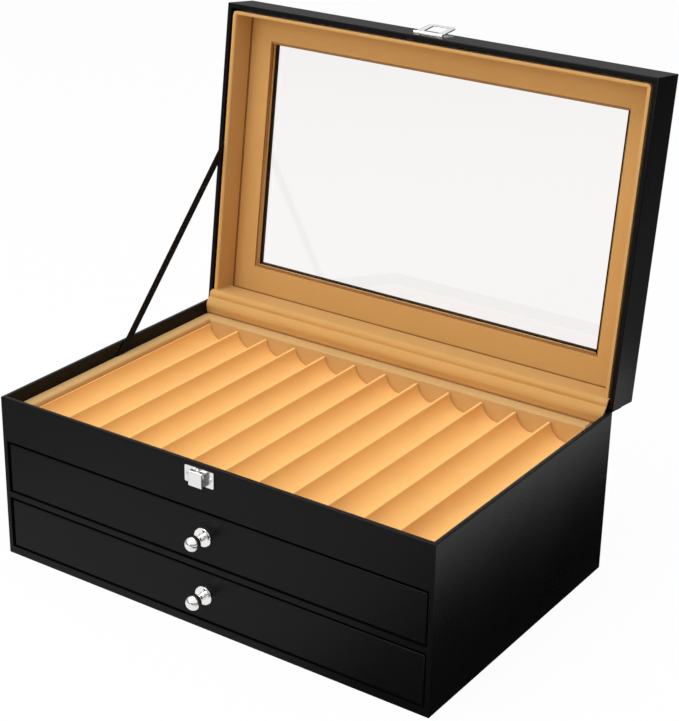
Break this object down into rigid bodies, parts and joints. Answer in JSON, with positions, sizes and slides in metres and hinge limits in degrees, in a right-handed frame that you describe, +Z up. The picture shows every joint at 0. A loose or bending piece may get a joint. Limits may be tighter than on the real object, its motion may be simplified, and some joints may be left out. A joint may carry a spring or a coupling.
{
  "type": "pen collector chest",
  "caption": "Black leather-covered pen collector chest with a glazed hinged lid, a tan trough tray and drawers with ball knobs.",
  "frame": {"origin": "centre of the case's underside", "axes": "+Z up, +X to the right seen from the drawers' side, +Y to the back; stored with the lid open"},
  "size_m": [0.32, 0.2766, 0.322],
  "materials": {
    "black_leather": "smooth matt black artificial leather over board, fine grain",
    "tan_velvet": "short-pile tan velvet, wrapped over a form",
    "lid_suede": "tan suede-like cloth over board",
    "drawer_board": "black paper-covered board, matt",
    "satin_nickel": "satin nickel plating",
    "polished_nickel": "polished nickel plating",
    "screw_steel": "nickel-plated screw heads",
    "clear_glass": "clear sheet glass",
    "black_ribbon": "woven black ribbon"
  },
  "bodies": {
    "case": {"back_panel": "black_leather", "base_panel": "black_leather", "drawer_divider": "black_leather", "front_fascia": "black_leather", "hinge_leather": "black_leather", "hinge_lining": "lid_suede", "side_panel_left": "black_leather", "side_panel_right": "black_leather", "stay_ribbon": "black_ribbon", "strike_plate": "satin_nickel", "strike_screws": "screw_steel", "tray_floor": "black_leather", "tray_insert": "tan_velvet", "tray_liner_back": "tan_velvet", "tray_liner_front": "tan_velvet", "tray_liner_left": "tan_velvet", "tray_liner_right": "tan_velvet"},
    "lid": {"hasp_pin": "satin_nickel", "hasp_plate": "satin_nickel", "hasp_screws": "screw_steel", "lid_frame": "black_leather", "lid_glass": "clear_glass", "lid_liner_back": "lid_suede", "lid_liner_front": "lid_suede", "lid_liner_left": "lid_suede", "lid_liner_right": "lid_suede", "lid_wall_back": "black_leather", "lid_wall_front": "black_leather", "lid_wall_left": "black_leather", "lid_wall_right": "black_leather", "lid_window_board": "lid_suede"},
    "hasp": {"hasp_flap": "satin_nickel"},
    "upper_drawer": {"upper_drawer_back": "drawer_board", "upper_drawer_bottom": "drawer_board", "upper_drawer_front": "black_leather", "upper_drawer_insert": "tan_velvet", "upper_drawer_side_left": "drawer_board", "upper_drawer_side_right": "drawer_board", "upper_knob": "polished_nickel", "upper_knob_screw": "screw_steel"},
    "lower_drawer": {"lower_drawer_back": "drawer_board", "lower_drawer_bottom": "drawer_board", "lower_drawer_front": "black_leather", "lower_drawer_insert": "tan_velvet", "lower_drawer_side_left": "drawer_board", "lower_drawer_side_right": "drawer_board", "lower_knob": "polished_nickel", "lower_knob_screw": "screw_steel"}
  },
  "joints": [
    {"name": "lid_hinge", "type": "hinge", "parent": "case", "child": "lid", "pos_m": [0, 0.1045, 0.111], "axis": [1, 0, 0], "range_deg": [0, 97], "deforming": ["hinge_lining", "hinge_leather", "stay_ribbon"]},
    {"name": "hasp_hinge", "type": "hinge", "parent": "lid", "child": "hasp", "pos_m": [-0.0015, 0.13207, 0.31995], "axis": [1, 0, 0], "range_deg": [0, 168]},
    {"name": "upper_drawer_slide", "type": "slide", "parent": "case", "child": "upper_drawer", "axis": [0, -1, 0], "range_m": [0, 0.15]},
    {"name": "lower_drawer_slide", "type": "slide", "parent": "case", "child": "lower_drawer", "axis": [0, -1, 0], "range_m": [0, 0.15]}
  ]
}
